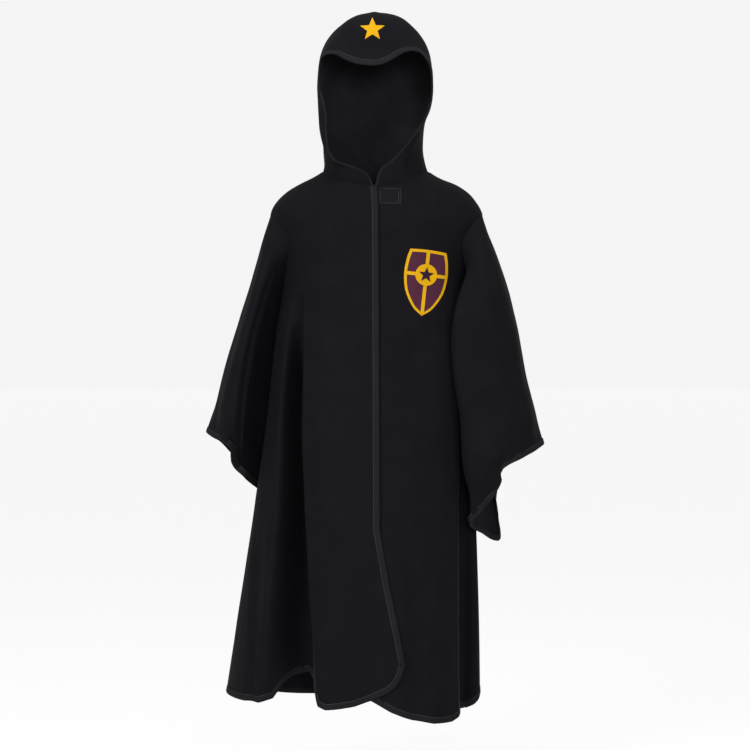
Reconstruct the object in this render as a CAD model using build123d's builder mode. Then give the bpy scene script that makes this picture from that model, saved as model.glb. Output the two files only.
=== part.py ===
"""A child's hooded costume cape with wide sleeves, as it hangs when it is worn.

The origin is the middle of the neck opening, at the neck seam. +Z is up, the front faces -Y
and +X is the wearer's left. Each cloth piece is a thin shell of the true outer shape.
"""

import os
from math import cos, pi, sin

from build123d import *

os.makedirs("parts", exist_ok=True)

# Driving dimensions, in millimetres
CLOTH = 2.4  # thickness of the cloth pieces
TRIM_PROUD = 0.8  # how far a binding stands out from the cloth on each side
BINDING = 10  # width of the bindings
UNDER_DROP = 5.4  # how much further in the left front lies at the middle of the chest
SWING_GAP = 1.5  # clearance between pieces that move against each other
BEND_Z = -250  # level below which the front panels swing
HEM_Z = -845  # hem of the back panel and of the sides
RIGHT_EDGE_X = 6  # front edge of the right front, which lies on top
LEFT_EDGE_X = -14  # front edge of the left front, hidden beneath
NECK_Z = 6  # level of the neck seam
SEAM_TAPE = 10  # height of the tape that covers the neck seam
CAP_REACH = 36  # how far a sleeve's top reaches round the body's side

# Levels of the garment: height, wearer's right edge, wearer's left edge, half depth
LEVELS = [
    (NECK_Z, -80, 82, 70),
    (-10, -108, 112, 80),
    (-26, -140, 146, 88),
    (-56, -166, 171, 94),
    (-104, -156, 160, 97),
    (-150, -147, 148, 99),
    (BEND_Z, -158, 150, 103),
    (-400, -174, 155, 118),
    (-500, -187, 159, 128),
    (-610, -204, 163, 139),
    (-720, -222, 166, 149),
    (-870, -245, 168, 161),
]
# Hood levels: height, half width, front, back, corner radius
HOOD_LEVELS = [
    (NECK_Z + SWING_GAP, 79, -70, 69, 66),
    (40, 86, -88, 92, 60),
    (100, 90, -100, 116, 50),
    (165, 91, -104, 122, 46),
    (205, 82, -98, 112, 50),
    (235, 56, -66, 84, 40),
    (252, 22, -28, 40, 16),
]
# The hood's face opening seen from the front: it drops like a peak over the brow and closes to
# a point at the throat. Its sides lie this far in front of the middle.
FACE_DEPTH = 50
BROW = [(110, 188), (48, 184), (20, 170), (-4, 166), (-28, 170), (-56, 184), (-110, 188)]
THROAT = [(-110, 60), (-84, 30), (-60, 12), (-32, 0), (-2, -22), (26, 8), (48, 36), (70, 62), (110, 90)]
FACE_OPENING = BROW + THROAT
# Sleeve levels: outer edge (x, z), inner edge (x, z), half depth
RIGHT_SLEEVE = [
    (-166, -60, -146, -152, 62),
    (-184, -124, -156, -196, 68),
    (-220, -240, -168, -290, 76),
    (-247, -340, -182, -410, 86),
    (-269, -414, -195, -508, 94),
]
LEFT_SLEEVE = [
    (171, -60, 147, -152, 62),
    (189, -124, 155, -196, 68),
    (225, -240, 160, -300, 76),
    (252, -346, 166, -450, 86),
    (270, -430, 172, -585, 96),
]
# Line that each front swings about, as (x, z) at its top and its foot, and its free edge below
# the bend, seen from the front
RIGHT_HINGE = ((-112, BEND_Z), (-100, -870))
RIGHT_FREE_EDGE = [(6, -560), (20, -642), (36, -722), (45, -766), (38, -789), (14, -805), (-100, -825)]
LEFT_HINGE = ((114, BEND_Z), (128, -870))
LEFT_FREE_EDGE = [(-14, -812), (-6, -819), (26, -835), (59, -848), (128, -855)]

# Badge on the wearer's left chest, and the star on the hood's crown
SHIELD_CENTRE = (78, -176)
SHIELD_SIZE = (68, 104)
SHIELD_TILT = 6  # degrees, its left side drops
SHIELD_BORDER = 4.3
SHIELD_CROSS = 5.4
BOSS_RADIUS = 17
BOSS_RISE = 0.12  # height of the cross's arms above the middle, as a share of the height
SHIELD_STAR = 12.5
HOOD_STAR = 20
HOOD_STAR_CENTRE = (-4, 218)
PATCH_LAYER = 0.7  # thickness of a printed or stitched layer

# Closure patches at the neck: right edge, left edge, bottom, top. They meet this far in.
LOOP_PATCH = (-14, 42, -54, -24)
HOOK_PATCH = (-14, 5, -54, -24)
HOOK_LEVEL, LOOP_LEVEL = 3.85, 3.98

# Tape, hanger loop and care label inside the back of the neck
TAPE, STRAP, TAG = 1.0, 1.2, 0.6  # their thicknesses
STRAP_SIZE = (40, 27)
STRAP_WEB = 6
LABEL = (26, 56, -32, 4)

FAR = 400  # larger than the garment is deep, for cutting tools


def oval_stack(inset=0.0, front_drop=0.0):
    """The body as a solid through oval levels, shrunk by inset, with its front moved in."""
    with BuildPart() as stack:
        for z, right, left, depth in LEVELS:
            with BuildSketch(Plane(((right + left) / 2, 0, z))):
                Ellipse((left - right) / 2 - inset, depth - inset - front_drop)
        loft(ruled=True)
    return stack.part


def shell_between(outside, inside):
    """One solid with another taken out of it."""
    with BuildPart() as shell:
        add(outside)
        add(inside, mode=Mode.SUBTRACT)
    return shell.part


def body_layer(start, end, front_drop=0.0):
    """The shell between two insets of the body's outer shape, open at both ends."""
    return shell_between(oval_stack(start, front_drop), oval_stack(end, front_drop))


def hood_stack(inset=0.0):
    """The hood's outer shape as a solid, shrunk by inset."""
    with BuildPart() as stack:
        for z, half, front, back, corner in HOOD_LEVELS:
            lowered = inset if z > 200 else 0
            with BuildSketch(Plane((0, (front + back) / 2, z - lowered))):
                RectangleRounded(2 * (half - inset), back - front - 2 * inset, corner - inset)
        loft(ruled=True)
    return stack.part


def hood_layer(start, end):
    """The shell between two insets of the hood's outer shape."""
    return shell_between(hood_stack(start), hood_stack(end))


def sleeve_stack(levels, inset=0.0):
    """A sleeve as a solid through tilted ovals, shrunk by inset."""
    with BuildPart() as stack:
        for outer_x, outer_z, inner_x, inner_z, depth in levels:
            across = Vector(inner_x - outer_x, 0, inner_z - outer_z)
            middle = ((outer_x + inner_x) / 2, 0, (outer_z + inner_z) / 2)
            with BuildSketch(Plane(middle, x_dir=across, z_dir=across.cross(Vector(0, 1, 0)))):
                Ellipse(across.length / 2 - inset, depth - inset)
        loft(ruled=True)
    return stack.part


def moved_inward(level, reach):
    """A sleeve level moved square to its own plane, towards the body."""
    outer_x, outer_z, inner_x, inner_z, depth = level
    across = Vector(inner_x - outer_x, 0, inner_z - outer_z)
    step = across.cross(Vector(0, 1, 0)).normalized() * reach
    step = step if step.X * outer_x < 0 else -step
    return (outer_x + step.X, outer_z + step.Z, inner_x + step.X, inner_z + step.Z, depth)


def binding_start(levels):
    """The level of a sleeve at which its binding starts."""
    above, hem = levels[-2:]
    share = BINDING / Vector(hem[0] - above[0], 0, hem[1] - above[1]).length
    return tuple(h + (a - h) * share for a, h in zip(above, hem))


def front_prism(corners, shrink=0.0, start=0.0):
    """An outline seen from the front, carried forward from a distance in front of y = 0."""
    with BuildPart() as prism:
        with BuildSketch(Plane.XZ.offset(start)):
            with BuildLine():
                Polyline(*corners, close=True)
            make_face()
            if shrink:
                offset(amount=-shrink)
        extrude(amount=FAR)
    return prism.part


def rectangle(right, left, bottom, top):
    """Corners of an upright rectangle seen from the front."""
    return [(right, bottom), (left, bottom), (left, top), (right, top)]


def back_prism(corners):
    """An outline seen from the front, carried through the back half."""
    with BuildPart() as prism:
        with BuildSketch(Plane.XZ):
            with BuildLine():
                Polyline(*corners, close=True)
            make_face()
        extrude(amount=-FAR)
    return prism.part


def face_opening(grow=0.0):
    """The hood's face opening seen from the front, carried through its front wall."""
    with BuildPart() as opening:
        with BuildSketch(Plane.XZ.offset(FACE_DEPTH - grow)):
            with BuildLine():
                Polyline(*FACE_OPENING, close=True)
            make_face()
            if grow:
                offset(amount=grow, kind=Kind.INTERSECTION)
        extrude(amount=FAR)
    return opening.part


def sleeve_hole(level):
    """The round hole through the body's side that a sleeve is sewn to."""
    outer_x, outer_z, inner_x, inner_z, depth = level
    across = Vector(inner_x - outer_x, 0, inner_z - outer_z)
    middle = ((outer_x + inner_x) / 2, 0, (outer_z + inner_z) / 2)
    with BuildPart() as hole:
        with BuildSketch(Plane(middle, x_dir=across, z_dir=across.cross(Vector(0, 1, 0)))):
            Ellipse(across.length / 2 - CLOTH, depth - CLOTH)
        extrude(amount=1.4 * CAP_REACH, both=True)
    return hole.part


def star(radius):
    """A plain five-pointed star."""
    corners = []
    for i in range(10):
        reach = radius if i % 2 == 0 else radius * 0.42
        corners.append((reach * sin(i * pi / 5), reach * cos(i * pi / 5)))
    with BuildSketch() as outline:
        Polygon(*corners, align=None)
    return outline.sketch


def shield(margin=0.0):
    """A plain heater shield, flat across the top and pointed below."""
    half, top = SHIELD_SIZE[0] / 2, SHIELD_SIZE[1] / 2
    shoulder, waist = 0.25 * top, -0.48 * top
    with BuildSketch() as outline:
        with BuildLine():
            Polyline((-half, shoulder), (-half, top), (half, top), (half, shoulder))
            ThreePointArc((half, shoulder), (0.74 * half, waist), (0, -top))
            ThreePointArc((0, -top), (-0.74 * half, waist), (-half, shoulder))
        make_face()
        if margin:
            offset(amount=-margin)
    return outline.sketch


def shield_fields():
    """The four coloured fields, between the border, the cross and the round boss."""
    inside_border = shield(SHIELD_BORDER)
    with BuildSketch() as fields:
        add(inside_border)
        Rectangle(SHIELD_CROSS, 2 * SHIELD_SIZE[1], mode=Mode.SUBTRACT)
        with Locations((0, BOSS_RISE * SHIELD_SIZE[1])):
            Rectangle(2 * SHIELD_SIZE[0], SHIELD_CROSS, mode=Mode.SUBTRACT)
            Circle(BOSS_RADIUS, mode=Mode.SUBTRACT)
    return fields.sketch


def placed_prism(sketch, place, turn=0.0):
    """A flat shape placed and turned as seen from the front, and carried forward."""
    with BuildPart() as prism:
        with BuildSketch(Plane.XZ):
            with Locations(Location((*place, 0), turn)):
                add(sketch)
        extrude(amount=FAR)
    return prism.part


def chest_prism(sketch, shift=(0, 0)):
    """A shape on the badge, placed and turned with it, and carried forward."""
    return placed_prism(sketch.moved(Location((*shift, 0))), SHIELD_CENTRE, -SHIELD_TILT)


def neck_band(start, thickness, bottom, top):
    """An upright oval band inside the neck, start away from the cloth."""
    _, right, left, depth = LEVELS[0]
    half = (left - right) / 2 - CLOTH - start
    deep = depth - CLOTH - start
    with BuildPart() as band:
        with BuildSketch(Plane(((right + left) / 2, 0, bottom))):
            Ellipse(half, deep)
            Ellipse(half - thickness, deep - thickness, mode=Mode.SUBTRACT)
        extrude(amount=top - bottom)
    return band.part


def cut(solid, keep=(), remove=()):
    """What of a solid is inside every keep tool and outside every other tool."""
    with BuildPart() as piece:
        add(solid)
        for tool in keep:
            add(tool, mode=Mode.INTERSECT, clean=False)
        for tool in remove:
            add(tool, mode=Mode.SUBTRACT, clean=False)
    return piece.part


def write(part, label):
    """Labels a sub-part and writes its file."""
    part.label = label
    export_step(part, f"parts/{label}.step")
    return part


def make_piece(label, solid, keep=(), remove=()):
    """Cuts a sub-part and writes it."""
    return write(cut(solid, keep, remove), label)


# Layers of the body that the panels, bindings and badges are cut from
cloth = body_layer(0, CLOTH)
under_cloth = body_layer(0, CLOTH, UNDER_DROP)
trim = body_layer(-TRIM_PROUD, CLOTH + TRIM_PROUD)
under_trim = body_layer(-TRIM_PROUD, CLOTH + TRIM_PROUD, UNDER_DROP)
sleeve_holes = [sleeve_hole(RIGHT_SLEEVE[0]), sleeve_hole(LEFT_SLEEVE[0])]
CLOTH_BOTTOM = HEM_Z + BINDING


def swing_space(hinge, side, gap=0.0):
    """Everything on one side of a hinge line and below the bend, a gap away from both."""
    (top_x, top_z), (foot_x, foot_z) = hinge
    near_top, near_foot, far = top_x + side * gap, foot_x + side * gap, side * FAR
    top_z = top_z - gap
    return front_prism([(near_top, top_z), (far, top_z), (far, foot_z), (near_foot, foot_z)])


def make_front(name, layers, side, edge_x, hinge, free_edge):
    """Writes one front: its chest and side, its swinging flap and the bindings of both.

    side is the way its flap lies from its hinge line, 1 for the wearer's left. The answer is
    the binding of its chest.
    """
    front_cloth, front_trim = layers
    inner_x = edge_x - side * BINDING
    chest = rectangle(*sorted((-side * FAR, inner_x)), CLOTH_BOTTOM, NECK_Z)
    swing = swing_space(hinge, side)
    panel = f"front_{name}_panel"
    make_piece(panel, front_cloth, [front_prism(chest)], [swing, *sleeve_holes])
    strip = rectangle(*sorted((edge_x, inner_x)), BEND_Z, NECK_Z)
    edge_binding = make_piece(f"front_{name}_edge_binding", front_trim, [front_prism(strip)])
    hem_end = hinge[1][0] - side * SWING_GAP
    hem = rectangle(*sorted((-side * FAR, hem_end)), HEM_Z, CLOTH_BOTTOM)
    make_piece(f"{name}_hem_binding", front_trim, [front_prism(hem)])

    flap_space = swing_space(hinge, side, SWING_GAP)
    back_x, foot_z = -side * FAR, free_edge[-1][1]
    outline = [(back_x, 0), (edge_x, 0), *free_edge, (back_x, foot_z)]
    whole, bound = front_prism(outline), front_prism(outline, BINDING)
    make_piece(f"front_{name}_flap", front_cloth, [flap_space, bound])
    make_piece(f"front_{name}_flap_binding", front_trim, [flap_space, whole], [bound])
    return edge_binding


# Back panel and the two fronts
back_region = back_prism(rectangle(-FAR, FAR, CLOTH_BOTTOM, NECK_Z))
make_piece("back_panel", cloth, [back_region], sleeve_holes)
back_hem = back_prism(rectangle(-FAR, FAR, HEM_Z, CLOTH_BOTTOM))
make_piece("back_hem_binding", trim, [back_hem])
right_layers, left_layers = (cloth, trim), (under_cloth, under_trim)
right_binding = make_front("right", right_layers, 1, RIGHT_EDGE_X, RIGHT_HINGE, RIGHT_FREE_EDGE)
left_binding = make_front("left", left_layers, -1, LEFT_EDGE_X, LEFT_HINGE, LEFT_FREE_EDGE)

# Sleeves, trimmed to the body's sides, and the bindings of their mouths
body_space = oval_stack(-SWING_GAP)
for side, levels in (("right", RIGHT_SLEEVE), ("left", LEFT_SLEEVE)):
    seam = binding_start(levels)
    tube = [moved_inward(levels[0], CAP_REACH), *levels[:-1], seam]
    make_piece(f"sleeve_{side}", sleeve_stack(tube), [], [sleeve_stack(tube, CLOTH), body_space])
    mouth = [seam, levels[-1]]
    mouth_inside = sleeve_stack(mouth, CLOTH + TRIM_PROUD)
    make_piece(f"sleeve_{side}_binding", sleeve_stack(mouth, -TRIM_PROUD), [], [mouth_inside])

# Hood, the binding round its face opening and the star on its crown
opening, bound_opening = face_opening(), face_opening(BINDING)
make_piece("hood_shell", hood_layer(0, CLOTH), [], [bound_opening])
hood_trim = hood_layer(-TRIM_PROUD, CLOTH + TRIM_PROUD)
make_piece("hood_edge_binding", hood_trim, [bound_opening], [opening])
crown_star = placed_prism(star(HOOD_STAR), HOOD_STAR_CENTRE)
make_piece("hood_star", hood_layer(-PATCH_LAYER, 0), [crown_star])

# Neck seam tape, hanger loop and care label, one on another inside the back of the neck
tape = neck_band(0, TAPE, NECK_Z - SEAM_TAPE, NECK_Z)
make_piece("neck_seam_tape", tape, [back_prism(rectangle(-FAR, FAR, -FAR, FAR))])
strap_top, strap_bottom, half_strap = NECK_Z - 1, NECK_Z - 1 - STRAP_SIZE[1], STRAP_SIZE[0] / 2
strap = rectangle(-half_strap, half_strap, strap_bottom, strap_top)
half_gap = half_strap - STRAP_WEB
strap_gap = rectangle(-half_gap, half_gap, strap_bottom + STRAP_WEB, NECK_Z - SEAM_TAPE + 2)
strap_band = neck_band(TAPE, STRAP, strap_bottom, strap_top)
make_piece("hanger_loop", strap_band, [back_prism(strap)], [back_prism(strap_gap)])
make_piece("care_label", neck_band(TAPE, TAG, *LABEL[2:]), [back_prism(rectangle(*LABEL))])

# Closure patches: the hooks inside the right front, the loops outside the left front
hooks = front_prism(rectangle(*HOOK_PATCH))
make_piece("closure_hook_patch", body_layer(CLOTH, HOOK_LEVEL), [hooks], [right_binding])
left_face = oval_stack(0, UNDER_DROP)
loops = front_prism(rectangle(*LOOP_PATCH))
make_piece("closure_loop_patch", oval_stack(0, LOOP_LEVEL), [loops], [left_face, left_binding])

# Badge: a gold ground, then the coloured fields and a plain star on it
ground_face = oval_stack(0, UNDER_DROP - PATCH_LAYER)
top_face = oval_stack(0, UNDER_DROP - 2 * PATCH_LAYER)
make_piece("shield_ground", ground_face, [chest_prism(shield())], [left_face])
fields = [cut(top_face, [chest_prism(field)], [ground_face]) for field in shield_fields().faces()]
with BuildPart() as four_fields:
    for field in fields:
        add(field, clean=False)
write(four_fields.part, "shield_fields")
boss = (0, BOSS_RISE * SHIELD_SIZE[1])
make_piece("shield_star", top_face, [chest_prism(star(SHIELD_STAR), boss)], [ground_face])
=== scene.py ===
"""The looks of the hooded costume cape: cloth, bindings, badge and stitching over the CAD frame."""

from math import cos, pi, radians, sin

import bmesh
import bpy
import numpy as np
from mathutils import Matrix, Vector, noise
from mathutils.bvhtree import BVHTree


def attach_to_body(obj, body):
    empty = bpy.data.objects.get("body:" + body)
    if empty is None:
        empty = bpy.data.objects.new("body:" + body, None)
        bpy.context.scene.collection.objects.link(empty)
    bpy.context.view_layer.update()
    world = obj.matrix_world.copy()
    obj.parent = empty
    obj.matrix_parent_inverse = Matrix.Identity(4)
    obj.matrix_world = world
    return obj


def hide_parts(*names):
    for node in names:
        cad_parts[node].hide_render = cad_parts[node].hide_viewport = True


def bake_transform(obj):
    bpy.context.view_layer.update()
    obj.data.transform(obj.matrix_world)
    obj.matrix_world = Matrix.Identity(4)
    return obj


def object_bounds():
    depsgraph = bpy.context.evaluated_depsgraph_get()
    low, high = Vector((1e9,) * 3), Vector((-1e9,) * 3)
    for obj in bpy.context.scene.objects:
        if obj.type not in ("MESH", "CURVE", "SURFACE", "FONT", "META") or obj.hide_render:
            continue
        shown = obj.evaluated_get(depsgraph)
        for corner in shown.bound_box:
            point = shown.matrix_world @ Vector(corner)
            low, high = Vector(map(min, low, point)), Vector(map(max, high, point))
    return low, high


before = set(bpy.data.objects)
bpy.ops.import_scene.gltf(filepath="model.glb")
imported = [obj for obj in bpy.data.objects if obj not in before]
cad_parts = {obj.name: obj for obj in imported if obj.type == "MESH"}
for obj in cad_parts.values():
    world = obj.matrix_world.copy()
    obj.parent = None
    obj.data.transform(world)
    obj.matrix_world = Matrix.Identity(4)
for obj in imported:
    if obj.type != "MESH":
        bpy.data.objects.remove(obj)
cad_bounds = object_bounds()
MM = 0.001


# ---------------------------------------------------------------- camera and studio
WORLD_LIGHT, WORLD_SEEN = 0.36, 0.91
FLOOR_GAP, FLOOR_GLOW = 0.12, 0.87


def add_camera():
    """Straight on from the front, level with the middle of the garment."""
    data = bpy.data.cameras.new("camera")
    data.lens, data.sensor_width = 105, 36
    camera = bpy.data.objects.new("camera", data)
    camera.location = (0, -3.5, -0.320)
    camera.rotation_euler = (radians(90), 0, 0)
    bpy.context.scene.collection.objects.link(camera)
    bpy.context.scene.camera = camera


def add_area_light(name, place, target, size, watts):
    data = bpy.data.lights.new(name, "AREA")
    data.shape, data.size, data.energy = "DISK", size, watts
    light = bpy.data.objects.new(name, data)
    light.location = place
    aim = Vector(target) - Vector(place)
    light.rotation_euler = aim.to_track_quat("-Z", "Y").to_euler()
    bpy.context.scene.collection.objects.link(light)


def add_studio():
    """Large soft lights, a pale background and a floor that glows a little so that it meets it.

    The camera sees a brighter background than the one that lights the cloth.
    """
    world = bpy.data.worlds.new("studio")
    world.use_nodes = True
    nodes, links = world.node_tree.nodes, world.node_tree.links
    light = nodes["Background"]
    light.inputs["Color"].default_value = (1, 1, 1, 1)
    light.inputs["Strength"].default_value = WORLD_LIGHT
    backdrop = nodes.new("ShaderNodeBackground")
    backdrop.inputs["Color"].default_value = (1, 1, 1, 1)
    backdrop.inputs["Strength"].default_value = WORLD_SEEN
    seen = nodes.new("ShaderNodeLightPath")
    mix = nodes.new("ShaderNodeMixShader")
    links.new(seen.outputs["Is Camera Ray"], mix.inputs[0])
    links.new(light.outputs["Background"], mix.inputs[1])
    links.new(backdrop.outputs["Background"], mix.inputs[2])
    links.new(mix.outputs["Shader"], nodes["World Output"].inputs["Surface"])
    bpy.context.scene.world = world
    bpy.context.scene.view_settings.view_transform = "Standard"
    middle = (0, 0, -0.3)
    add_area_light("key", (-1.9, -2.7, 1.1), middle, 1.3, 105)
    add_area_light("fill", (1.9, -2.8, 0.4), middle, 2.0, 38)
    add_area_light("front", (0.25, -3.8, 0.1), (0, 0, 0), 0.8, 75)
    add_area_light("top", (0.2, -0.2, 2.2), middle, 1.6, 45)
    bpy.ops.mesh.primitive_plane_add(size=200, location=(0, 0, cad_bounds[0][2] - FLOOR_GAP))
    floor = bpy.context.object
    floor.name = "studio_floor"
    pale = plain_material("studio_floor", (0.08, 0.08, 0.08), 0.9)
    shader = pale.node_tree.nodes["Principled BSDF"]
    shader.inputs["Emission Color"].default_value = (1, 1, 1, 1)
    shader.inputs["Emission Strength"].default_value = FLOOR_GLOW
    floor.data.materials.append(pale)


# ---------------------------------------------------------------- materials
def plain_material(name, colour, roughness):
    material = bpy.data.materials.new(name)
    material.use_nodes = True
    shader = material.node_tree.nodes["Principled BSDF"]
    shader.inputs["Base Color"].default_value = (*colour, 1)
    shader.inputs["Roughness"].default_value = roughness
    return material


def cloth_material(name, colour, spread, weave_scale, weave_depth, fuzz, roughness=0.85):
    """Cloth with a fine weave, slow mottling of its colour and a soft nap.

    spread is how much lighter the mottling gets, and weave_scale the threads per metre.
    """
    material = plain_material(name, colour, roughness)
    nodes, links = material.node_tree.nodes, material.node_tree.links
    shader = nodes["Principled BSDF"]
    shader.inputs["Sheen Weight"].default_value = fuzz
    shader.inputs["Sheen Roughness"].default_value = 0.45
    shader.inputs["Sheen Tint"].default_value = (0.80, 0.80, 0.86, 1)
    shader.inputs["Specular IOR Level"].default_value = 0.06
    place = nodes.new("ShaderNodeTexCoord")
    mottle = nodes.new("ShaderNodeTexNoise")
    mottle.inputs["Scale"].default_value = 26
    mottle.inputs["Detail"].default_value = 6
    mottle.inputs["Roughness"].default_value = 0.62
    ramp = nodes.new("ShaderNodeValToRGB")
    ramp.color_ramp.elements[0].position = 0.30
    ramp.color_ramp.elements[1].position = 0.72
    ramp.color_ramp.elements[0].color = (*colour, 1)
    ramp.color_ramp.elements[1].color = (*[c * spread for c in colour], 1)
    links.new(place.outputs["Object"], mottle.inputs["Vector"])
    links.new(mottle.outputs["Fac"], ramp.inputs["Fac"])
    links.new(ramp.outputs["Color"], shader.inputs["Base Color"])
    weave = nodes.new("ShaderNodeTexNoise")
    weave.inputs["Scale"].default_value = weave_scale
    weave.inputs["Detail"].default_value = 2
    stretch = nodes.new("ShaderNodeMapping")
    stretch.inputs["Scale"].default_value = (1, 1, 0.45)
    nap = nodes.new("ShaderNodeTexNoise")
    nap.inputs["Scale"].default_value = weave_scale * 0.16
    nap.inputs["Detail"].default_value = 3
    mix = nodes.new("ShaderNodeMath")
    mix.operation = "ADD"
    bump = nodes.new("ShaderNodeBump")
    bump.inputs["Strength"].default_value = 0.5
    bump.inputs["Distance"].default_value = weave_depth
    links.new(place.outputs["Object"], stretch.inputs["Vector"])
    links.new(stretch.outputs["Vector"], weave.inputs["Vector"])
    links.new(place.outputs["Object"], nap.inputs["Vector"])
    links.new(weave.outputs["Fac"], mix.inputs[0])
    links.new(nap.outputs["Fac"], mix.inputs[1])
    links.new(mix.outputs["Value"], bump.inputs["Height"])
    links.new(bump.outputs["Normal"], shader.inputs["Normal"])
    return material


# ---------------------------------------------------------------- mesh helpers
def smooth_mesh(name, points, faces, material):
    mesh = bpy.data.meshes.new(name)
    mesh.from_pydata([tuple(p) for p in points], [], faces)
    mesh.materials.append(material)
    mesh.validate()
    mesh.shade_smooth()
    mesh.set_sharp_from_angle(angle=radians(50))
    piece = bpy.data.objects.new(name, mesh)
    bpy.context.scene.collection.objects.link(piece)
    return piece


def unit(vectors):
    return vectors / np.maximum(np.linalg.norm(vectors, axis=-1, keepdims=True), 1e-9)


def grid_normals(grid, closed=False):
    """Outward normals of a grid of points, (columns, rows, 3); closed if its columns go round."""
    if closed:
        along = np.roll(grid, -1, axis=0) - np.roll(grid, 1, axis=0)
    else:
        along = np.gradient(grid, axis=0)
    return unit(np.cross(along, np.gradient(grid, axis=1)))


def cloth_piece(name, grid, normals, thickness, material, closed=False, skip=None, inside=None):
    """A solid cloth piece from a grid of points in mm: two faces and a rim all round.

    skip says which cells are left out, one truth for each cell, and inside is the material of
    the under face, if that differs.
    """
    columns, rows = grid.shape[:2]
    cells = np.ones((columns if closed else columns - 1, rows - 1), bool)
    if skip is not None:
        cells &= ~skip[: cells.shape[0], : cells.shape[1]]
    faces = []
    for i, j in zip(*np.nonzero(cells)):
        k = (i + 1) % columns
        faces.append((i * rows + j, k * rows + j, k * rows + j + 1, i * rows + j + 1))
    half = thickness / 2
    points, normals = grid.reshape(-1, 3), normals.reshape(-1, 3)
    return thickened(name, points, normals, faces, half, -half, material, inside)


def thickened(name, points, normals, faces, top, bottom, material, inside=None):
    """A thin solid from a surface: one face at a height above it, one at another, and a rim.

    inside is the material of its under face, if that differs.
    """
    count = len(points)
    solid = np.concatenate([points + normals * top, points + normals * bottom]) * MM
    under = [tuple(count + v for v in reversed(face)) for face in faces]
    edges = set()
    for face in faces:
        edges.update(zip(face, face[1:] + face[:1]))
    rim = [(b, a, count + a, count + b) for a, b in edges if (b, a) not in edges]
    used = sorted({v for face in faces + under + sorted(rim) for v in face})
    place = {v: n for n, v in enumerate(used)}
    kept = [tuple(place[v] for v in face) for face in faces + under + sorted(rim)]
    piece = smooth_mesh(name, solid[used], kept, material)
    if inside:
        piece.data.materials.append(inside)
        for polygon in list(piece.data.polygons)[len(faces) : 2 * len(faces)]:
            polygon.material_index = 1
    return piece


def curve_through(points, count):
    """count points evenly spaced along a smooth line through a few."""
    p = np.array(points, float)
    p = np.concatenate([[2 * p[0] - p[1]], p, [2 * p[-1] - p[-2]]])
    fine = []
    for i in range(1, len(p) - 2):
        for t in np.linspace(0, 1, 24, endpoint=i == len(p) - 3):
            a, b, c, d = p[i - 1 : i + 3]
            fine.append(
                0.5 * (2 * b + (c - a) * t + (2 * a - 5 * b + 4 * c - d) * t**2
                       + (3 * b - a - 3 * c + d) * t**3)
            )
    fine = np.array(fine)
    run = np.concatenate([[0], np.cumsum(np.linalg.norm(np.diff(fine, axis=0), axis=1))])
    at = np.linspace(0, run[-1], count)
    return np.stack([np.interp(at, run, fine[:, k]) for k in range(fine.shape[1])], axis=1)


def smooth_value(places, values, at):
    """A smooth line through a few places, each with a number or an array, read at any places."""
    places, values = np.asarray(places, float), np.asarray(values, float)
    slopes = np.gradient(values, places, axis=0)
    i = np.clip(np.searchsorted(places, at) - 1, 0, len(places) - 2)
    h = places[i + 1] - places[i]
    t = np.clip((at - places[i]) / h, 0, 1)
    extra = (1,) * (values.ndim - 1)
    h, t = h.reshape(h.shape + extra), t.reshape(t.shape + extra)
    a, b = 2 * t**3 - 3 * t**2 + 1, t**3 - 2 * t**2 + t
    c, d = -2 * t**3 + 3 * t**2, t**3 - t**2
    return a * values[i] + b * h * slopes[i] + c * values[i + 1] + d * h * slopes[i + 1]


def bump_at(x, middle, half_width):
    """1 at the middle, falling smoothly to 0 at half_width away."""
    t = np.clip(np.abs(x - middle) / np.maximum(half_width, 1e-6), 0, 1)
    return 0.5 + 0.5 * np.cos(pi * t)


def step_at(x, start, end):
    t = np.clip((x - start) / (end - start), 0, 1)
    return t * t * (3 - 2 * t)


def wrinkles(points, size, depth, seed):
    """Soft random unevenness at each point, stretched along the height."""
    out = np.empty(points.shape[:-1])
    for index in np.ndindex(out.shape):
        x, y, z = points[index] / size
        out[index] = noise.noise(Vector((x + seed, y - seed, 0.32 * z + 2 * seed)))
    return out * depth


# ---------------------------------------------------------------- shape of the body, in mm
# Height, wearer's right edge, wearer's left edge, half depth
LEVELS = np.array([
    (10, -76, 78, 68),
    (-6, -100, 103, 76),
    (-20, -128, 134, 85),
    (-48, -160, 164, 92),
    (-66, -167, 172, 94),
    (-104, -156, 160, 96),
    (-150, -147, 148, 98),
    (-250, -158, 150, 102),
    (-400, -174, 155, 117),
    (-500, -187, 159, 127),
    (-610, -204, 163, 138),
    (-720, -221, 166, 148),
    (-870, -244, 168, 160),
], float)[::-1]
CLOTH = 1.3
# How far the left front lies beneath the right one
UNDER = 5.0
# The neck seam's height, and how far it dips at the throat
NECK, THROAT_DIP = 3, 27
HEM = -825
# How much lower the hem hangs at the middle of the back
BACK_DIP = 24
# Rows of points lie closer together near the neck
CROWDING = 1.12
# A sleeve's first ring, and the smaller hole under it: middle height, half depth, half height
ARMHOLE = (-105, 46, 45)
HOLE = (-106, 42, 41)
# A hole's cells lie further to the side than this, so that the other side isn't cut
BESIDE = 100
# The fold where a front's side part ends and its front part begins
HINGE_X = {"right": -116, "left": 138}


def level_at(z):
    """Edges and half depth of the body at a height."""
    return [smooth_value(LEVELS[:, 0], LEVELS[:, k], z) for k in (1, 2, 3)]


def tucked(x, soft_edge, sharp_edge):
    """A fold drawn in slowly from its soft edge and turned back steeply at its sharp one."""
    t = (x - soft_edge) / (sharp_edge - soft_edge)
    return step_at(t, -0.25, 0.95) * (1 - step_at(t, 0.92, 1.04))


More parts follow.
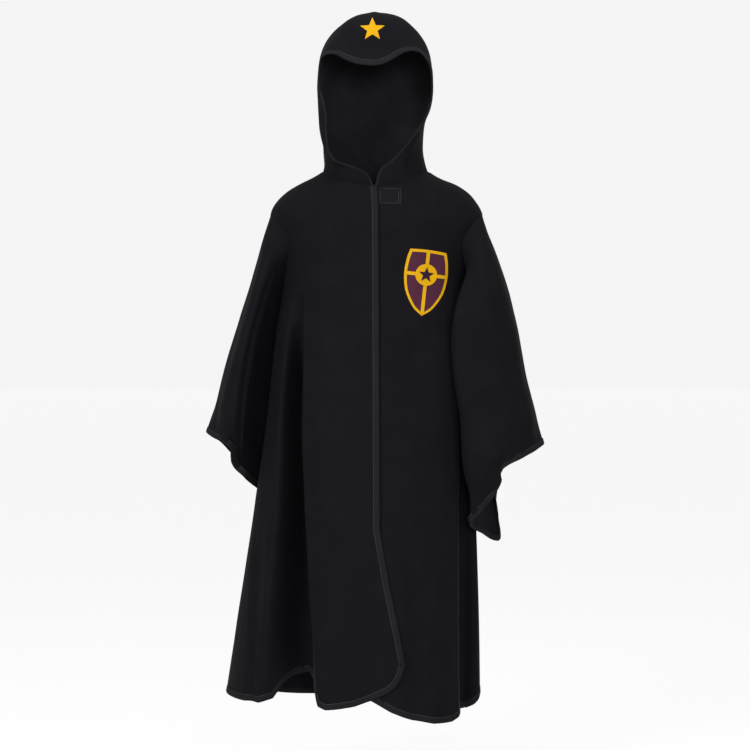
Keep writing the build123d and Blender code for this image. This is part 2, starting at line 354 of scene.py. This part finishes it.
def front_folds(x, z):
    """How far the front is drawn in at a place, seen from the front."""
    down = -z
    soft = np.interp(down, (190, 280, 400, 530, 670, 780), (-132, -138, -146, -147, -158, -168))
    sharp = np.interp(down, (190, 420, 540, 640, 740, 860), (-112, -113, -108, -102, -94, -91))
    depth = np.interp(down, (190, 260, 330, 500, 700, 860), (0, 32, 70, 88, 100, 108))
    folds = depth * tucked(x, soft, sharp)
    # The side's own crease, and the side tucked in behind the left front's edge
    crease = np.interp(down, (560, 700, 860), (-181, -187, -194))
    folds = folds + 12 * step_at(down, 520, 640) * bump_at(x, crease, 15)
    folds = folds + 62 * step_at(down, 340, 560) * tucked(x, 170, 131)
    # Slow waves across the two fronts
    folds = folds + 5 * step_at(down, 300, 700) * np.sin((x + 30) / 19.0)
    folds = folds - 5 * step_at(down, 250, 600) * bump_at(x, -82, 26)
    folds = folds - 9 * step_at(down, 420, 800) * bump_at(x, 104, 30)
    folds = folds + 8 * step_at(down, 500, 820) * bump_at(x, 62, 24)
    return folds


def back_folds(x, z):
    """How far the back is drawn in at a place: soft pleats that deepen downwards."""
    down = -z
    grow = step_at(down, 120, 760)
    pleats = np.sin(x / 21.0 + 0.6 * np.sin(down / 240.0) + 0.8)
    return grow * (8 + 13 * pleats + 5 * np.sin(x / 11.5 + 2.1)) * (1 - step_at(np.abs(x), 150, 215))


def seam_height(across):
    """The neck seam's height where across is 1 in front and -1 behind: it dips at the throat."""
    return NECK - THROAT_DIP * np.clip(across, 0, 1) ** 4


def body_points(angle, z, front, drop=0.0):
    """Points of the body at angles from the wearer's left side, 0, to the right side, pi."""
    right, left, depth = level_at(z)
    x = (right + left) / 2 + (left - right) / 2 * np.cos(angle)
    out = np.sin(angle)
    if front:
        y = -(depth - drop) * out + np.minimum(front_folds(x, z), (depth - 14) * out)
    else:
        y = depth * out - back_folds(x, z) * out
    return np.stack([x, y, z * np.ones_like(x)], axis=-1)


# ---------------------------------------------------------------- pieces
def armhole_cells(grid, side):
    """The cells of a body grid that lie inside the round hole under a sleeve."""
    middle = (grid[:-1, :-1] + grid[1:, 1:]) / 2
    y, z = middle[..., 1], middle[..., 2]
    height, half_depth, half_height = HOLE
    inside = (y / half_depth) ** 2 + ((z - height) / half_height) ** 2 < 1
    return inside & (middle[..., 0] * side > BESIDE)


def binding_strip(name, edge, inward, normal, width, material, closed=False):
    """A folded tape round an edge, from its points, inward directions and normals."""
    edge, inward, normal = (np.asarray(v, float) for v in (edge, inward, normal))
    section = [
        (width, 0.75), (width - 0.6, 1.25), (width * 0.5, 1.45), (1.2, 1.5), (-0.6, 1.1),
        (-1.2, 0), (-0.6, -1.1), (1.2, -1.5), (width * 0.5, -1.45), (width - 0.6, -1.25),
        (width, -0.75),
    ]
    rings = np.stack([edge + inward * a + normal * b for a, b in section], axis=1)
    count, around = rings.shape[:2]
    faces = []
    for i in range(count if closed else count - 1):
        k = (i + 1) % count
        for j in range(around):
            m = (j + 1) % around
            faces.append((i * around + j, k * around + j, k * around + m, i * around + m))
    if not closed:
        faces.append(tuple(range(around)))
        faces.append(tuple((count - 1) * around + j for j in reversed(range(around))))
    return smooth_mesh(name, rings.reshape(-1, 3) * MM, faces, material)


def stitch_row(name, line, normal, material, pitch=3.6, length=2.4, radius=0.24):
    """A run of short raised stitches along a line on cloth."""
    line, normal = np.asarray(line, float), np.asarray(normal, float)
    run = np.concatenate([[0], np.cumsum(np.linalg.norm(np.diff(line, axis=0), axis=1))])
    points, faces = [], []

    def along(values, at):
        return np.array([np.interp(at, run, values[:, k]) for k in range(3)])

    for start in np.arange(pitch / 2, run[-1] - pitch, pitch):
        ends = [along(line, start), along(line, start + length)]
        up = along(normal, start)
        ahead = unit(ends[1] - ends[0])
        side = unit(np.cross(up, ahead))
        base = len(points)
        for t, swell in ((0, 0.25), (0.3, 1), (0.7, 1), (1, 0.25)):
            middle = ends[0] * (1 - t) + ends[1] * t
            for a, b in ((-1.3, -0.6), (-0.8, 0.9), (0.8, 0.9), (1.3, -0.6)):
                points.append(middle + (side * a + up * b) * radius * swell)
        for i in range(3):
            for j in range(4):
                m = (j + 1) % 4
                a, b = base + 4 * i, base + 4 * i + 4
                faces.append((a + j, b + j, b + m, a + m))
        faces.append(tuple(base + j for j in (3, 2, 1, 0)))
        faces.append(tuple(base + 12 + j for j in (0, 1, 2, 3)))
    return smooth_mesh(name, np.array(points) * MM, faces, material)


THREAD = plain_material("thread", (0.014, 0.0135, 0.016), 0.6)
KNIT = cloth_material("brushed_knit", (0.0023, 0.0021, 0.0031), 1.45, 900, 0.00035, 0.008)
# The hood's under face: the same knit painted lighter, painted light that stands in for the light reaching
# inside the hood
KNIT_PAINTED_LIGHT = cloth_material("brushed_knit_painted_light", (0.0100, 0.0094, 0.0112), 1.5, 900, 0.00035, 0.02)
TAPE = cloth_material("bias_tape", (0.0058, 0.0055, 0.0069), 1.3, 1500, 0.00020, 0.01)
GOLD = cloth_material("gold_satin", (0.37, 0.195, 0.0005), 1.10, 1300, 0.00010, 0.01, 0.5)
PLUM = cloth_material("plum_satin", (0.033, 0.0075, 0.0175), 1.3, 1300, 0.00010, 0.02, 0.6)
PURPLE = cloth_material("purple_satin", (0.014, 0.0035, 0.013), 1.2, 1300, 0.00010, 0.02, 0.6)
HOOKS = cloth_material("hook_and_loop", (0.0034, 0.0032, 0.0042), 1.5, 700, 0.0010, 0.02)
LABEL = cloth_material("label_ribbon", (0.80, 0.79, 0.76), 1.03, 1200, 0.00008, 0.1, 0.6)

# Points down and across each front, and over the whole back twice as many across
ROWS, COLUMNS = 300, 240
# Where the tape's stitches lie: in from the edge, and up from the cloth's middle
STITCH_IN, STITCH_UP = 8.0, 1.25
TAPE_WIDTH = 9.0
TAPE_SPACING = 3.0


def fine_wrinkles(points, seed):
    """The small unevenness of hanging cloth, in millimetres, growing towards the hem."""
    down = np.clip(-points[..., 2] / 800, 0, 1)
    slow = wrinkles(points, 46, 2.6, seed) * (0.35 + 0.65 * down)
    return slow + wrinkles(points, 17, 0.6, seed + 9)


def settle(grid, seed, middle=(-10, 0, 0), upright=True, seams=(True, True)):
    """A grid with its small wrinkles pressed in, and its normals pointing away from middle.

    The wrinkles die out towards the first and last columns where these are seams.
    """
    count = len(grid)
    fade = np.ones(count)
    if seams[0]:
        fade *= step_at(np.arange(count), 0, 16)
    if seams[1]:
        fade *= step_at(count - 1 - np.arange(count), 0, 16)
    grid = grid + grid_normals(grid) * (fine_wrinkles(grid, seed) * fade[:, None])[..., None]
    normals = grid_normals(grid)
    away = (grid - middle) * ([1, 1, 0] if upright else [1, 1, 1])
    return grid, normals * np.sign((normals * away).sum())


def make_back():
    """The back's grid, from the wearer's left side seam round to the right one."""
    angles = np.linspace(0, pi, 2 * COLUMNS)
    down = np.linspace(0, 1, ROWS) ** CROWDING
    hem = HEM - BACK_DIP * np.sin(angles)
    z = NECK + (hem[:, None] - NECK) * down[None, :]
    grid = body_points(angles[:, None] * np.ones_like(z), z, front=False)
    return settle(grid, 3.1)


def edge_x(z, side):
    """Where a front's free edge lies, seen from the front."""
    if side == "right":
        return np.interp(-z, (-20, 60, 560, 640, 722, 766, 900), (-1, 4, 6, 20, 37, 45, 47))
    return np.interp(-z, (-20, 20, 60, 900), (1, -5, -14, -14))


# Each front's hem height, from its side seam, share 0, to its free edge, share 1. The right one
# rises where it is drawn back in the deep fold, and both round off at the free edge.
RIGHT_HEM = (
    (0, 0.2, 0.38, 0.455, 0.495, 0.547, 0.61, 0.64, 0.66, 0.69, 0.73, 0.8, 0.865, 0.93, 0.965, 0.985, 1),
    (-825, -827, -827, -821, -802, -791, -788, -800, -826, -831, -830, -826, -818, -807, -796, -783, -766),
)
LEFT_HEM = (
    (0, 0.12, 0.215, 0.32, 0.4, 0.436, 0.479, 0.615, 0.75, 0.867, 0.98, 1),
    (-825, -834, -842, -848, -850, -854, -858, -857, -850, -837, -818, -812),
)


def make_front(side):
    """A front's grid, from its side seam to its free edge."""
    share = np.linspace(0, 1, COLUMNS)
    down = np.linspace(0, 1, ROWS) ** CROWDING
    hem = np.interp(share, *(RIGHT_HEM if side == "right" else LEFT_HEM))
    drop = 0 if side == "right" else UNDER
    seam = pi if side == "right" else 0.0
    z = np.empty((share.size, ROWS))
    angle = np.empty_like(z)
    for i, s in enumerate(share):
        start = float(NECK)
        for _ in range(3):
            z[i] = start + (hem[i] - start) * down
            right, left, _depth = level_at(z[i])
            middle, half = (right + left) / 2, (left - right) / 2
            end = np.arccos(np.clip((edge_x(z[i], side) - middle) / half, -1, 1))
            angle[i] = seam + (end - seam) * s
            start = seam_height(np.sin(angle[i][0]))
    grid = body_points(angle, z, front=True, drop=drop)
    return settle(grid, 3.1 if side == "right" else 7.7, seams=(True, False))


def robe_ride(piece):
    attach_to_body(piece, "robe")
    return piece


def flap_blend(piece):
    """A piece of a front, its transform baked into its points."""
    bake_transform(piece)
    return piece


def running_mean(directions, closed, reach=12):
    """Directions along a line, each averaged with its neighbours."""
    padded = np.pad(directions, ((reach, reach), (0, 0)), mode="wrap" if closed else "edge")
    kernel = np.ones(2 * reach + 1)
    return unit(np.stack([np.convolve(padded[:, k], kernel, mode="valid") for k in range(3)], axis=1))


def edge_tape(name, line, nearby, normals, attach, closed=False):
    """The folded tape of an edge and the stitches through it, given the cloth just inside."""
    if closed:
        along = np.roll(line, -1, axis=0) - np.roll(line, 1, axis=0)
    else:
        along = np.gradient(line, axis=0)
    normals = running_mean(normals, closed)
    inward = unit(np.cross(normals, along))
    inward = running_mean(inward * np.sign((inward * (nearby - line)).sum()), closed)
    tape = attach(binding_strip(name, line, inward, normals, TAPE_WIDTH, TAPE, closed))
    raised = line + inward * STITCH_IN + normals * STITCH_UP
    stitches = attach(stitch_row(f"{name}_stitches", raised, normals, THREAD))
    return [tape, stitches]


def build_back():
    grid, normals = make_back()
    skip = armhole_cells(grid, 1) | armhole_cells(grid, -1)
    cloth = cloth_piece("back_panel_cloth", grid, normals, CLOTH, KNIT, skip=skip)
    robe_ride(cloth)
    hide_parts("back_panel")
    hem = edge_tape("back_hem_tape", grid[:, -1], grid[:, -4], normals[:, -1], robe_ride)
    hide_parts("back_hem_binding")
    return [(cloth, hem)]


def build_front(side):
    """One front: its side, its wide front part, its tape and its stitches."""
    grid, normals = make_front(side)
    low_down = grid[:, int(ROWS * 0.75), 0]
    foot = int(np.argmin(np.abs(low_down - HINGE_X[side])))
    skip = armhole_cells(grid, -1 if side == "right" else 1)
    sides = cloth_piece(
        f"front_{side}_side_cloth", grid[: foot + 1], normals[: foot + 1], CLOTH, KNIT,
        skip=skip[:foot],
    )
    robe_ride(sides)
    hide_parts(f"front_{side}_panel")
    wide = cloth_piece(
        f"front_{side}_cloth", grid[foot:], normals[foot:], CLOTH, KNIT, skip=skip[foot:]
    )
    flap_blend(wide)
    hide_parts(f"front_{side}_flap")

    def attach(piece):
        return flap_blend(piece)

    # The tape runs down the free edge, round the corner and along the hem to the hinge line
    around = [(grid.shape[0] - 1, j) for j in range(0, ROWS)]
    around += [(i, ROWS - 1) for i in range(grid.shape[0] - 2, foot - 1, -1)]
    columns, rows = np.array(around).T
    inner_columns = np.where(rows < ROWS - 1, columns - 3, columns)
    inner_rows = np.where(columns < grid.shape[0] - 1, rows - 4, rows)
    line, nearby, up = grid[columns, rows], grid[inner_columns, inner_rows], normals[columns, rows]
    run = np.concatenate([[0], np.cumsum(np.linalg.norm(np.diff(line, axis=0), axis=1))])
    at = np.arange(0, run[-1], TAPE_SPACING)

    def even(values):
        return np.stack([np.interp(at, run, values[:, k]) for k in range(3)], axis=1)

    line, nearby, up = even(line), even(nearby), unit(even(up))
    front_tape = edge_tape(f"front_{side}_tape", line, nearby, up, attach)
    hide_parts(f"front_{side}_edge_binding", f"front_{side}_flap_binding")
    side_tape = edge_tape(
        f"{side}_hem_tape", grid[: foot + 1, -1], grid[: foot + 1, -4], normals[: foot + 1, -1],
        robe_ride,
    )
    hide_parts(f"{side}_hem_binding")
    return grid, [(sides, side_tape), (wide, front_tape)]


# ---------------------------------------------------------------- sleeves
# Down each sleeve: the outer line's x and z, the inner line's x and z, half depth, how far the
# front is folded, and the share of the width at which its face turns in
SLEEVE_STATIONS = {
    "right": [
        (-176, -96, -146, -160, 54, 0.1, 0.6),
        (-188, -136, -149, -206, 62, 0.6, 0.42),
        (-218, -232, -159, -288, 68, 1.0, 0.44),
        (-240, -308, -167, -366, 72, 1.0, 0.46),
        (-254, -366, -176, -436, 74, 1.0, 0.52),
    ],
    "left": [
        (179, -90, 150, -158, 56, 0.8, 1.25),
        (193, -124, 152, -200, 68, 1.0, 1.52),
        (227, -238, 154, -300, 74, 1.0, 1.44),
        (243, -326, 158, -400, 78, 1.0, 1.28),
        (257, -380, 162, -474, 80, 1.0, 1.22),
    ],
}
# Round each mouth, from its outer side through the front: half turns, then x, y and z
SLEEVE_MOUTH = {
    "right": [
        (0, -269, 0, -411), (0.12, -257, -32, -418), (0.25, -243, -54, -424), (0.36, -231, -64, -431),
        (0.44, -226, -54, -438), (0.52, -228, -34, -451), (0.62, -224, -26, -464),
        (0.75, -209, -22, -481), (0.88, -196, 4, -495), (1.0, -185, 28, -506),
        (1.15, -190, 42, -500), (1.35, -206, 56, -480), (1.55, -226, 64, -456),
        (1.75, -248, 52, -430), (1.9, -264, 22, -414),
    ],
    "left": [
        (0, 270, 0, -429), (0.12, 254, -40, -438), (0.25, 228, -68, -451), (0.36, 207, -76, -461),
        (0.46, 196, -68, -473), (0.54, 198, -58, -485), (0.64, 189, -62, -505),
        (0.8, 166, -68, -534), (0.92, 151, -64, -553), (1.05, 168, -18, -570),
        (1.2, 200, 22, -585), (1.38, 197, 48, -540), (1.55, 200, 62, -490),
        (1.72, 224, 62, -452), (1.88, 256, 38, -434),
    ],
}
# Round a folded ring: half turns, share of the width, share of the depth. In the right sleeve
# the front's inner part is drawn back in a deep fold, and in the left one it laps over the side.
FOLDED_RING = {
    "right": lambda edge: [
        (0, 0, 0), (0.15, 0.1, -0.55), (0.35, 0.45 * edge, -0.95), (0.55, 0.88 * edge, -1.0),
        (0.63, edge + 0.01, -0.8), (0.73, edge + 0.05, -0.05), (0.86, 0.82, 0.4), (1, 1, 0.5),
        (1.25, 0.85, 0.9), (1.5, 0.5, 1.05), (1.75, 0.15, 0.7),
    ],
    "left": lambda edge: [
        (0, 0, 0), (0.15, 0.1, -0.55), (0.35, 0.4, -0.95), (0.6, 0.85, -1.08),
        (0.76, edge - 0.06, -1.06), (0.82, edge, -0.96), (0.88, edge - 0.06, -0.84),
        (1, 1, -0.1), (1.25, 0.85, 0.7), (1.5, 0.5, 1), (1.75, 0.15, 0.7),
    ],
}
ROUND = 220
SLEEVE_ROWS = 200


def ring_through(controls, turn):
    """A smooth closed ring through a few points, each with its place in half turns first."""
    controls = np.array(controls, float)
    before, after = controls[-3:].copy(), controls[:3].copy()
    before[:, 0] -= 2
    after[:, 0] += 2
    line = np.concatenate([before, controls, after])
    return smooth_value(line[:, 0], line[:, 1:], turn)


def armhole_ring(side, turn):
    """The sleeve's first ring, on the body's surface round the armhole."""
    sign = -1 if side == "right" else 1
    height, half_depth, half_height = ARMHOLE
    y = -half_depth * np.sin(pi * turn)
    z = height + half_height * np.cos(pi * turn)
    right, left, depth = level_at(z)
    middle, half = (right + left) / 2, (left - right) / 2
    x = middle + sign * (half - 1) * np.sqrt(1 - (y / depth) ** 2)
    return np.stack([x, y, z], axis=-1)


def make_sleeve(side):
    """A sleeve's closed grid, round and then down."""
    turn = np.linspace(0, 2, ROUND, endpoint=False)
    plain_share = (1 - np.cos(pi * turn)) / 2
    plain_depth = -np.sign(np.sin(pi * turn)) * np.abs(np.sin(pi * turn)) ** 0.75
    rings = [armhole_ring(side, turn)]
    for outer_x, outer_z, inner_x, inner_z, depth, folded, edge in SLEEVE_STATIONS[side]:
        fold = ring_through(FOLDED_RING[side](edge), turn)
        share = plain_share * (1 - folded) + fold[:, 0] * folded
        y = depth * (plain_depth * (1 - folded) + fold[:, 1] * folded)
        x = outer_x + (inner_x - outer_x) * share
        z = outer_z + (inner_z - outer_z) * np.clip(share, 0, 1)
        rings.append(np.stack([x, y, z], axis=-1))
    rings.append(ring_through(SLEEVE_MOUTH[side], turn))
    rings = np.array(rings)
    outer = np.linalg.norm(np.diff(rings[:, 0], axis=0), axis=1)
    places = np.concatenate([[0], np.cumsum(outer)]) / outer.sum()
    down = np.linspace(0, 1, SLEEVE_ROWS)
    grid = smooth_value(places, rings, down).transpose(1, 0, 2)
    centre = grid.mean(axis=0, keepdims=True)
    normals = grid_normals(grid, closed=True)
    hang = step_at(down, 0.02, 0.3)[None, :]
    grid = grid + normals * (fine_wrinkles(grid, 12.5) * hang * 1.3)[..., None]
    normals = grid_normals(grid, closed=True)
    return grid, normals * np.sign((normals * (grid - centre)).sum())


def build_sleeve(side):
    grid, normals = make_sleeve(side)

    def attach(piece):
        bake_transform(piece)
        return piece

    cloth = attach(cloth_piece(f"sleeve_{side}_cloth", grid, normals, CLOTH, KNIT, closed=True))
    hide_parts(f"sleeve_{side}")
    hem = edge_tape(f"sleeve_{side}_tape", grid[:, -1], grid[:, -4], normals[:, -1], attach, True)
    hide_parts(f"sleeve_{side}_binding")
    return [(cloth, hem)]


# ---------------------------------------------------------------- hood
# Arcs over the hood from the face opening to the back of the neck. Each half starts above the
# neck seam and ends at the middle of the crown. The first arc, round the face, and the second
# have two halves of their own, and the others are mirrored, a little fuller low on one side.
FACE_ARCS = [
    [
        [(8, -78, 0), (25, -82, 14), (43, -82, 32), (58, -80, 52), (75, -78, 75), (86, -77, 98),
         (90, -79, 126), (87, -85, 160), (72, -93, 181), (56, -97, 185), (42, -101, 180),
         (27, -105, 171), (10, -108, 163), (-6, -109, 161)],
        [(-13, -80, -6), (-26, -82, 2), (-42, -82, 8), (-61, -80, 15), (-73, -77, 32), (-76, -75, 58),
         (-76, -75, 86), (-80, -76, 108), (-87, -79, 132), (-87, -86, 160), (-82, -90, 177),
         (-64, -97, 180), (-46, -103, 171), (-28, -107, 164), (-6, -109, 161)],
    ],
    [
        [(44, -74, 6), (62, -68, 40), (80, -56, 84), (91, -50, 125), (88, -55, 172), (78, -60, 200),
         (60, -64, 222), (36, -70, 237), (-2, -74, 241)],
        [(-44, -76, 4), (-72, -66, 20), (-86, -56, 60), (-88, -50, 110), (-88, -52, 150),
         (-83, -58, 185), (-66, -62, 210), (-38, -70, 233), (-2, -74, 241)],
    ],
]
CROWN_ARCS = [
    [(70, -40, 18), (74, -30, 44), (79, -18, 82), (91, -10, 130), (88, -12, 180), (78, -14, 208),
     (60, -15, 230), (34, -15, 247), (0, -18, 253)],
    [(80, 4, 18), (76, 18, 44), (79, 36, 82), (90, 46, 130), (86, 50, 178), (76, 52, 202),
     (58, 52, 222), (32, 52, 240), (0, 50, 245)],
    [(76, 42, 16), (74, 58, 40), (77, 84, 82), (80, 98, 130), (68, 106, 170), (46, 106, 200),
     (22, 104, 214), (0, 102, 218)],
    [(50, 66, 16), (54, 82, 38), (60, 104, 70), (58, 118, 105), (48, 124, 135), (32, 126, 155),
     (16, 126, 165), (0, 125, 168)],
    [(24, 74, 14), (28, 86, 30), (32, 100, 48), (30, 112, 70), (24, 118, 88), (16, 120, 98),
     (8, 121, 104), (0, 121, 106)],
    [(-1.5, 73, 6), (-1.5, 74, 9), (-1.5, 76, 14), (-1, 79, 20), (0, 80, 22)],
]
# Where each arc starts on the neck seam: degrees round from the front
SEAM_STARTS = (0, 26, 52, 84, 118, 146, 168, 180)
HALF_ARC = 40
SEAM_TUCK = 8
HOOD_COLUMNS, HOOD_ROWS = 200, 240


def on_neck(degrees, side):
    """A place just inside and below the neck seam, from the middle of the front round a side."""
    round_it = radians(degrees)
    z = seam_height(cos(round_it)) - 4
    right, left, depth = level_at(z)
    right, left, depth = right + SEAM_TUCK, left - SEAM_TUCK, depth - SEAM_TUCK
    x = (right + left) / 2 * sin(round_it) + side * (left - right) / 2 * sin(round_it)
    return x, -depth * cos(round_it), z


def make_hood():
    """The hood's grid: its columns run over the head, the first along the face opening."""
    halves = list(FACE_ARCS)
    for half in CROWN_ARCS:
        halves.append([half, [(-x - 8 * float(bump_at(z, 58, 46)), y, z) for x, y, z in half]])
    arcs = []
    for degrees, (one, other) in zip(SEAM_STARTS, halves):
        one = curve_through([on_neck(degrees, 1)] + one, HALF_ARC)
        other = curve_through([on_neck(degrees, -1)] + other, HALF_ARC)
        arcs.append(np.concatenate([one, other[-2::-1]]))
    arcs = np.array(arcs)
    over = np.linspace(0, arcs.shape[1] - 1, HOOD_ROWS)
    back = np.linspace(0, 1, HOOD_COLUMNS) ** 1.15 * (len(arcs) - 1)
    fine = smooth_value(np.arange(arcs.shape[1]), arcs.transpose(1, 0, 2), over)
    grid = smooth_value(np.arange(len(arcs)), fine.transpose(1, 0, 2), back)
    return settle(grid, 21.4, middle=(0, 10, 110), upright=False, seams=(False, True))


def hood_blend(piece):
    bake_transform(piece)
    return piece


def build_hood():
    grid, normals = make_hood()
    # The under face wears the knit with painted light, so the inside of the hood shows lighter than the
    # outside
    cloth = hood_blend(cloth_piece("hood_cloth", grid, normals, CLOTH, KNIT, inside=KNIT_PAINTED_LIGHT))
    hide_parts("hood_shell")
    rim = edge_tape("hood_edge_tape", grid[0], grid[4], normals[0], hood_blend)
    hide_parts("hood_edge_binding")
    mark = hood_blend(laid_on("hood_star_patch", star(-4, 219, 20), surface_of(grid), 0.7, 0.5, GOLD))
    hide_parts("hood_star")
    return [(cloth, rim + [mark])]


# ---------------------------------------------------------------- badge and closure
# A place well in front of the garment
FAR_FRONT = -400
def surface_of(grid):
    """A grid as a surface that flat shapes are laid on, from the front."""
    columns, rows = grid.shape[:2]
    faces = [
        (i * rows + j, (i + 1) * rows + j, (i + 1) * rows + j + 1, i * rows + j + 1)
        for i in range(columns - 1)
        for j in range(rows - 1)
    ]
    return BVHTree.FromPolygons([tuple(p) for p in grid.reshape(-1, 3)], faces)


def on_surface(surface, x, z):
    """The place on a surface at x and z as seen from the front, and its normal."""
    place, normal, _index, _far = surface.ray_cast(Vector((x, FAR_FRONT, z)), Vector((0, 1, 0)))
    return np.array(place), np.array(normal if normal.y < 0 else -normal)


def laid_on(name, outline, surface, lift, thickness, material, spacing=3.0):
    """A flat shape, its outline in x and z, laid on a surface at a height above it."""
    shape = bmesh.new()
    shape.faces.new([shape.verts.new((x, 0, z)) for x, z in outline])
    low, high = np.min(outline, axis=0), np.max(outline, axis=0)
    for axis, side in ((0, Vector((1, 0, 0))), (1, Vector((0, 0, 1)))):
        for at in np.arange(low[axis] + spacing, high[axis], spacing):
            everything = shape.verts[:] + shape.edges[:] + shape.faces[:]
            bmesh.ops.bisect_plane(shape, geom=everything, plane_co=side * at, plane_no=side)
    bmesh.ops.triangulate(shape, faces=shape.faces[:])
    shape.verts.index_update()
    found = [on_surface(surface, vert.co.x, vert.co.z) for vert in shape.verts]
    faces = [tuple(vert.index for vert in face.verts) for face in shape.faces]
    points, normals = (np.array(values) for values in zip(*found))
    a, b, c = (points[[face[k] for face in faces]] for k in range(3))
    if (np.cross(b - a, c - a)[:, 1] > 0).mean() > 0.5:
        faces = [face[::-1] for face in faces]
    shape.free()
    return thickened(name, points, normals, faces, lift + thickness, lift, material)


def star(x, z, radius, inner=0.42):
    """The outline of a five-pointed star."""
    outline = []
    for k in range(10):
        reach = radius if k % 2 == 0 else radius * inner
        angle = radians(90 + 36 * k)
        outline.append((x + reach * cos(angle), z + reach * sin(angle)))
    return outline


def disc(x, z, radius, corners=48):
    turns = [2 * pi * k / corners for k in range(corners)]
    return [(x + radius * cos(turn), z + radius * sin(turn)) for turn in turns]


SHIELD_PLACE = (78, -176)
SHIELD_TILT = -6
SHIELD_SIDE = [(28.5, 50.5), (32.5, 34), (34, 10), (29, -16), (15, -40), (0, -52)]
SHIELD_BORDER = 4.3
CROSS_BAR = 5.4
CROSS_RISE = 12.5
BOSS_RADIUS = 17


def on_shield(outline):
    """Points given from the shield's own middle, moved to its place and tilt."""
    c, s = cos(radians(SHIELD_TILT)), sin(radians(SHIELD_TILT))
    return [(SHIELD_PLACE[0] + x * c - z * s, SHIELD_PLACE[1] + x * s + z * c) for x, z in outline]


def shield_outline(inset):
    wide, tall = 1 - inset / SHIELD_SIDE[2][0], 1 - inset / SHIELD_SIDE[0][1]
    side = curve_through([(x * wide, z * tall) for x, z in SHIELD_SIDE], 40)
    top = [(x * wide, (51.8 - 1.3 * (x / 28.5) ** 2) * tall) for x in np.linspace(-24, 24, 9)]
    return [tuple(p) for p in side] + [(-x, z) for x, z in side[-2::-1]] + top


def bar(half_width, half_height, z=0.0):
    return [(-half_width, z - half_height), (half_width, z - half_height),
            (half_width, z + half_height), (-half_width, z + half_height)]


def build_badge(surface):
    """The shield in layers of satin: gold ground, plum field, gold cross and boss, purple star."""
    layers = [
        ("shield_ground_satin", shield_outline(0), 0.7, GOLD, "badge_gold", "shield_ground"),
        ("shield_field_satin", shield_outline(SHIELD_BORDER), 1.1, PLUM, "badge_plum", "shield_fields"),
        ("shield_upright_bar", bar(CROSS_BAR / 2, 49), 1.5, GOLD, "badge_gold", None),
        ("shield_level_bar", bar(31.5, CROSS_BAR / 2, CROSS_RISE), 1.55, GOLD, "badge_gold", None),
        ("shield_boss", disc(0, CROSS_RISE, BOSS_RADIUS), 1.9, GOLD, "badge_gold", None),
        ("shield_star_satin", star(0, CROSS_RISE, 12.5), 2.3, PURPLE, "badge_purple", "shield_star"),
    ]
    pieces = []
    for name, outline, lift, material, slot, node in layers:
        piece = robe_ride(laid_on(name, on_shield(outline), surface, lift, 0.4, material))
        if node:
            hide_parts(node)
        pieces.append(piece)
    return pieces


PATCH_TOP, PATCH_FOOT = -27, -54
PATCH_INNER, PATCH_OUTER = -4, 42
# The stitched rectangle, and the second row beside its outer end: two x and two z
STITCHED = ((8, 40, -52, -29), (36.5, 36.6, -50, -31))
STITCH_LIFT = 1.75


def build_closure(left_surface, right_surface):
    """The hook-and-loop closure at the throat and the stitching that holds it."""
    loop_outline = [(PATCH_INNER, PATCH_FOOT), (PATCH_OUTER, PATCH_FOOT), (PATCH_OUTER, PATCH_TOP),
                    (PATCH_INNER, PATCH_TOP)]
    loop = robe_ride(laid_on("closure_loop_tape", loop_outline, left_surface, 0.7, 0.9, HOOKS))
    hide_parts("closure_loop_patch")
    hook_outline = [(PATCH_INNER, PATCH_FOOT), (0, PATCH_FOOT), (0, PATCH_TOP), (PATCH_INNER, PATCH_TOP)]
    hook = robe_ride(laid_on("closure_hook_tape", hook_outline, right_surface, -1.7, 0.9, HOOKS))
    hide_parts("closure_hook_patch")
    pieces = [loop, hook]
    for k, (x0, x1, z0, z1) in enumerate(STITCHED):
        corners = [(x0, z1), (x1, z1), (x1, z0), (x0, z0), (x0, z1)]
        line = []
        for (xa, za), (xb, zb) in zip(corners, corners[1:]):
            for t in np.linspace(0, 1, 12, endpoint=False):
                line.append(on_surface(left_surface, xa + (xb - xa) * t, za + (zb - za) * t))
        places, normals = (np.array(values) for values in zip(*line))
        raised = places + normals * STITCH_LIFT
        stitches = stitch_row(f"closure_stitches_{k + 1}", raised, normals, THREAD)
        pieces.append(robe_ride(stitches))
    return pieces


def dress_cad_nodes():
    """Materials for the small CAD pieces that stay as they are."""
    kept = {"neck_seam_tape": TAPE, "hanger_loop": TAPE, "care_label": LABEL}
    for node, material in kept.items():
        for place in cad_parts[node].material_slots:
            place.material = material
    return [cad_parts[node] for node in kept]


# ---------------------------------------------------------------- the whole garment
# Each cloth, with the tape, stitches and smaller pieces that go with it
add_camera()
add_studio()
sheets = build_back()
sheets[0][1].extend(dress_cad_nodes())
right_grid, right_pieces = build_front("right")
left_grid, left_pieces = build_front("left")
left_surface = surface_of(left_grid)
left_pieces[1][1].extend(build_badge(left_surface))
left_pieces[1][1].extend(build_closure(left_surface, surface_of(right_grid)))
sheets += right_pieces + left_pieces
sheets += build_sleeve("right") + build_sleeve("left") + build_hood()
